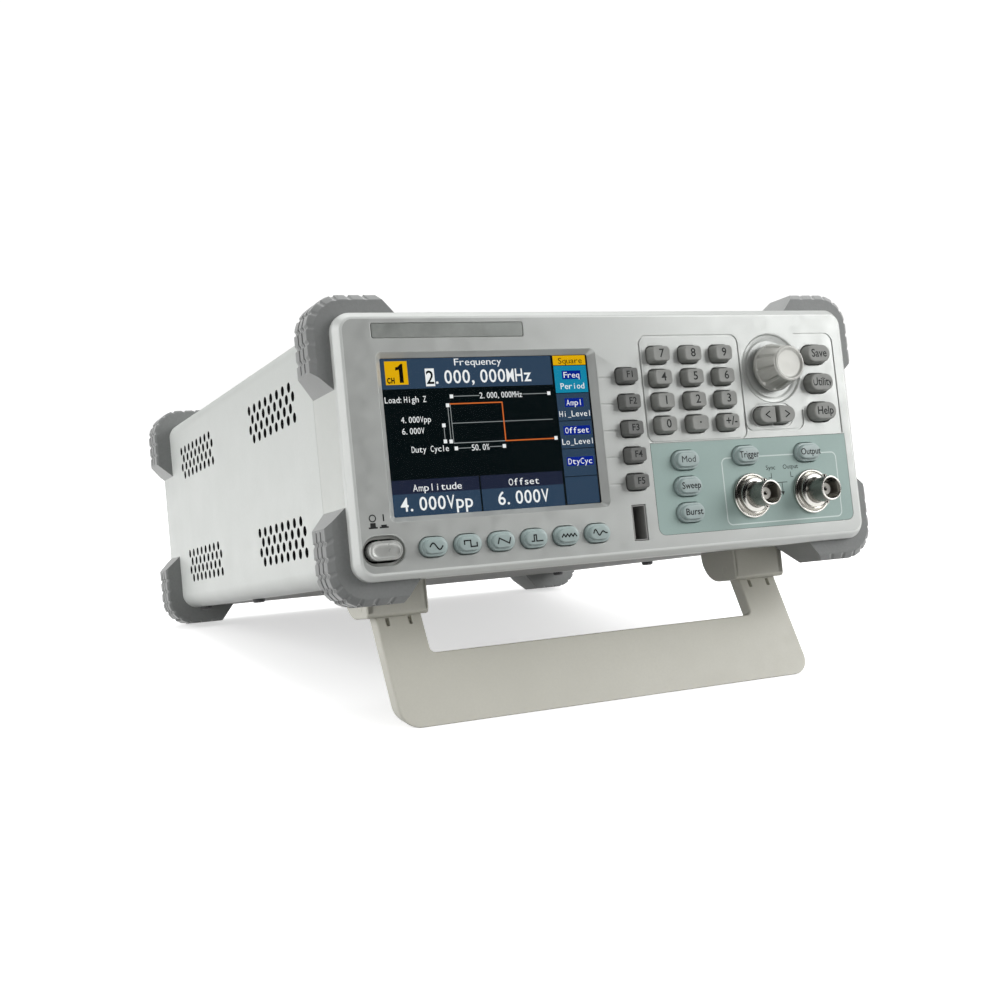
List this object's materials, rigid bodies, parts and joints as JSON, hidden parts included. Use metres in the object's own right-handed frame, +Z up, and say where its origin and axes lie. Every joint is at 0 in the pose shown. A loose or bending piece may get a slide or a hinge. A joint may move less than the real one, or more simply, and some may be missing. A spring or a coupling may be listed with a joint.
{
  "type": "function generator",
  "caption": "Bench function generator with display, keypad, knob, coaxial jacks, vented metal case, rubber corner bumpers and a fold-out bail.",
  "frame": {"origin": "centre of the footprint on the bench, with the bail open and the back on its two lower rubber bumpers", "axes": "-Y towards the user's side, +X to the right as seen from the front, +Z up; the case is raised 10 degrees at the front"},
  "size_m": [0.235, 0.3136, 0.1556],
  "materials": {
    "bezel_plastic": "painted silver-grey moulding, fine satin",
    "frame_plastic": "off-white moulding, satin",
    "overlay_film": "printed grey-teal film, semi-matt",
    "strip_metal": "brushed, blank",
    "window_glass": "clear window",
    "lcd_frame": "display with bezel",
    "mat_rubber": "silicone",
    "circuit_board": "solder mask",
    "supply_board": "paper laminate with parts",
    "plain_steel": "plated steel",
    "jack_nickel": "polished nickel",
    "case_paint": "off-white powder coat",
    "chassis_steel": "zinc-plated steel",
    "rear_paint": "grey powder coat",
    "bumper_rubber": "dark grey rubber, matt",
    "stand_plastic": "warm grey moulding, fine texture",
    "inlet_plastic": "black",
    "screw_steel": "zinc-plated",
    "key_grey": "satin grey",
    "key_pale": "satin pale blue-green",
    "button_silver": "metallic paint",
    "knob_plastic": "ivory, glossy"
  },
  "bodies": {
    "instrument": {"front_bezel": "bezel_plastic", "front_frame": "frame_plastic", "output_overlay": "overlay_film", "name_strip": "strip_metal", "display_window": "window_glass", "lcd_module": "lcd_frame", "key_mat": "mat_rubber", "front_board": "circuit_board", "rotary_encoder": "plain_steel", "front_jacks": "jack_nickel", "usb_ports": "plain_steel", "case_cover": "case_paint", "base_chassis": "chassis_steel", "rear_panel": "rear_paint", "front_bumpers": "bumper_rubber", "rear_bumpers": "bumper_rubber", "hinge_blocks": "stand_plastic", "hinge_pins": "plain_steel", "main_board": "circuit_board", "power_supply": "supply_board", "mains_inlet": "inlet_plastic", "rear_jacks": "jack_nickel", "case_screws": "screw_steel", "power_switch": "inlet_plastic"},
    "key_f1": {"key_f1": "key_grey"},
    "key_f2": {"key_f2": "key_grey"},
    "key_f3": {"key_f3": "key_grey"},
    "key_f4": {"key_f4": "key_grey"},
    "key_f5": {"key_f5": "key_grey"},
    "key_7": {"key_7": "key_grey"},
    "key_8": {"key_8": "key_grey"},
    "key_9": {"key_9": "key_grey"},
    "key_4": {"key_4": "key_grey"},
    "key_5": {"key_5": "key_grey"},
    "key_6": {"key_6": "key_grey"},
    "key_1": {"key_1": "key_grey"},
    "key_2": {"key_2": "key_grey"},
    "key_3": {"key_3": "key_grey"},
    "key_0": {"key_0": "key_grey"},
    "key_point": {"key_point": "key_grey"},
    "key_sign": {"key_sign": "key_grey"},
    "key_save": {"key_save": "key_grey"},
    "key_utility": {"key_utility": "key_grey"},
    "key_help": {"key_help": "key_grey"},
    "key_left": {"key_left": "key_grey"},
    "key_right": {"key_right": "key_grey"},
    "key_sine": {"key_sine": "key_pale"},
    "key_square": {"key_square": "key_pale"},
    "key_ramp": {"key_ramp": "key_pale"},
    "key_pulse": {"key_pulse": "key_pale"},
    "key_noise": {"key_noise": "key_pale"},
    "key_arb": {"key_arb": "key_pale"},
    "key_mod": {"key_mod": "key_pale"},
    "key_sweep": {"key_sweep": "key_pale"},
    "key_burst": {"key_burst": "key_pale"},
    "key_trigger": {"key_trigger": "key_pale"},
    "key_output": {"key_output": "key_pale"},
    "power_button": {"power_button": "button_silver"},
    "knob": {"knob": "knob_plastic"},
    "bail_stand": {"bail_stand": "stand_plastic"}
  },
  "joints": [
    {"name": "bail_fold", "type": "hinge", "parent": "instrument", "child": "bail_stand", "pos_m": [0, -0.10419, 0.04055], "axis": [1, 0, 0], "range_deg": [0, 113.9]},
    {"name": "knob_turn", "type": "hinge", "parent": "instrument", "child": "knob", "pos_m": [0.0715, -0.14038, 0.12613], "axis": [0, -0.9848, 0.1736], "continuous": true},
    {"name": "press_power", "type": "slide", "parent": "instrument", "child": "power_button", "axis": [0, 0.9848, -0.1736], "range_m": [0, 0.003], "stiffness_N_per_m": 500},
    {"name": "press_f1", "type": "slide", "parent": "instrument", "child": "key_f1", "axis": [0, 0.9848, -0.1736], "range_m": [0, 0.001], "stiffness_N_per_m": 600},
    {"name": "press_f2", "type": "slide", "parent": "instrument", "child": "key_f2", "axis": [0, 0.9848, -0.1736], "range_m": [0, 0.001], "stiffness_N_per_m": 600},
    {"name": "press_f3", "type": "slide", "parent": "instrument", "child": "key_f3", "axis": [0, 0.9848, -0.1736], "range_m": [0, 0.001], "stiffness_N_per_m": 600},
    {"name": "press_f4", "type": "slide", "parent": "instrument", "child": "key_f4", "axis": [0, 0.9848, -0.1736], "range_m": [0, 0.001], "stiffness_N_per_m": 600},
    {"name": "press_f5", "type": "slide", "parent": "instrument", "child": "key_f5", "axis": [0, 0.9848, -0.1736], "range_m": [0, 0.001], "stiffness_N_per_m": 600},
    {"name": "press_7", "type": "slide", "parent": "instrument", "child": "key_7", "axis": [0, 0.9848, -0.1736], "range_m": [0, 0.001], "stiffness_N_per_m": 600},
    {"name": "press_8", "type": "slide", "parent": "instrument", "child": "key_8", "axis": [0, 0.9848, -0.1736], "range_m": [0, 0.001], "stiffness_N_per_m": 600},
    {"name": "press_9", "type": "slide", "parent": "instrument", "child": "key_9", "axis": [0, 0.9848, -0.1736], "range_m": [0, 0.001], "stiffness_N_per_m": 600},
    {"name": "press_4", "type": "slide", "parent": "instrument", "child": "key_4", "axis": [0, 0.9848, -0.1736], "range_m": [0, 0.001], "stiffness_N_per_m": 600},
    {"name": "press_5", "type": "slide", "parent": "instrument", "child": "key_5", "axis": [0, 0.9848, -0.1736], "range_m": [0, 0.001], "stiffness_N_per_m": 600},
    {"name": "press_6", "type": "slide", "parent": "instrument", "child": "key_6", "axis": [0, 0.9848, -0.1736], "range_m": [0, 0.001], "stiffness_N_per_m": 600},
    {"name": "press_1", "type": "slide", "parent": "instrument", "child": "key_1", "axis": [0, 0.9848, -0.1736], "range_m": [0, 0.001], "stiffness_N_per_m": 600},
    {"name": "press_2", "type": "slide", "parent": "instrument", "child": "key_2", "axis": [0, 0.9848, -0.1736], "range_m": [0, 0.001], "stiffness_N_per_m": 600},
    {"name": "press_3", "type": "slide", "parent": "instrument", "child": "key_3", "axis": [0, 0.9848, -0.1736], "range_m": [0, 0.001], "stiffness_N_per_m": 600},
    {"name": "press_0", "type": "slide", "parent": "instrument", "child": "key_0", "axis": [0, 0.9848, -0.1736], "range_m": [0, 0.001], "stiffness_N_per_m": 600},
    {"name": "press_point", "type": "slide", "parent": "instrument", "child": "key_point", "axis": [0, 0.9848, -0.1736], "range_m": [0, 0.001], "stiffness_N_per_m": 600},
    {"name": "press_sign", "type": "slide", "parent": "instrument", "child": "key_sign", "axis": [0, 0.9848, -0.1736], "range_m": [0, 0.001], "stiffness_N_per_m": 600},
    {"name": "press_save", "type": "slide", "parent": "instrument", "child": "key_save", "axis": [0, 0.9848, -0.1736], "range_m": [0, 0.001], "stiffness_N_per_m": 600},
    {"name": "press_utility", "type": "slide", "parent": "instrument", "child": "key_utility", "axis": [0, 0.9848, -0.1736], "range_m": [0, 0.001], "stiffness_N_per_m": 600},
    {"name": "press_help", "type": "slide", "parent": "instrument", "child": "key_help", "axis": [0, 0.9848, -0.1736], "range_m": [0, 0.001], "stiffness_N_per_m": 600},
    {"name": "press_left", "type": "slide", "parent": "instrument", "child": "key_left", "axis": [0, 0.9848, -0.1736], "range_m": [0, 0.001], "stiffness_N_per_m": 600},
    {"name": "press_right", "type": "slide", "parent": "instrument", "child": "key_right", "axis": [0, 0.9848, -0.1736], "range_m": [0, 0.001], "stiffness_N_per_m": 600},
    {"name": "press_sine", "type": "slide", "parent": "instrument", "child": "key_sine", "axis": [0, 0.9848, -0.1736], "range_m": [0, 0.001], "stiffness_N_per_m": 600},
    {"name": "press_square", "type": "slide", "parent": "instrument", "child": "key_square", "axis": [0, 0.9848, -0.1736], "range_m": [0, 0.001], "stiffness_N_per_m": 600},
    {"name": "press_ramp", "type": "slide", "parent": "instrument", "child": "key_ramp", "axis": [0, 0.9848, -0.1736], "range_m": [0, 0.001], "stiffness_N_per_m": 600},
    {"name": "press_pulse", "type": "slide", "parent": "instrument", "child": "key_pulse", "axis": [0, 0.9848, -0.1736], "range_m": [0, 0.001], "stiffness_N_per_m": 600},
    {"name": "press_noise", "type": "slide", "parent": "instrument", "child": "key_noise", "axis": [0, 0.9848, -0.1736], "range_m": [0, 0.001], "stiffness_N_per_m": 600},
    {"name": "press_arb", "type": "slide", "parent": "instrument", "child": "key_arb", "axis": [0, 0.9848, -0.1736], "range_m": [0, 0.001], "stiffness_N_per_m": 600},
    {"name": "press_mod", "type": "slide", "parent": "instrument", "child": "key_mod", "axis": [0, 0.9848, -0.1736], "range_m": [0, 0.001], "stiffness_N_per_m": 600},
    {"name": "press_sweep", "type": "slide", "parent": "instrument", "child": "key_sweep", "axis": [0, 0.9848, -0.1736], "range_m": [0, 0.001], "stiffness_N_per_m": 600},
    {"name": "press_burst", "type": "slide", "parent": "instrument", "child": "key_burst", "axis": [0, 0.9848, -0.1736], "range_m": [0, 0.001], "stiffness_N_per_m": 600},
    {"name": "press_trigger", "type": "slide", "parent": "instrument", "child": "key_trigger", "axis": [0, 0.9848, -0.1736], "range_m": [0, 0.001], "stiffness_N_per_m": 600},
    {"name": "press_output", "type": "slide", "parent": "instrument", "child": "key_output", "axis": [0, 0.9848, -0.1736], "range_m": [0, 0.001], "stiffness_N_per_m": 600}
  ]
}
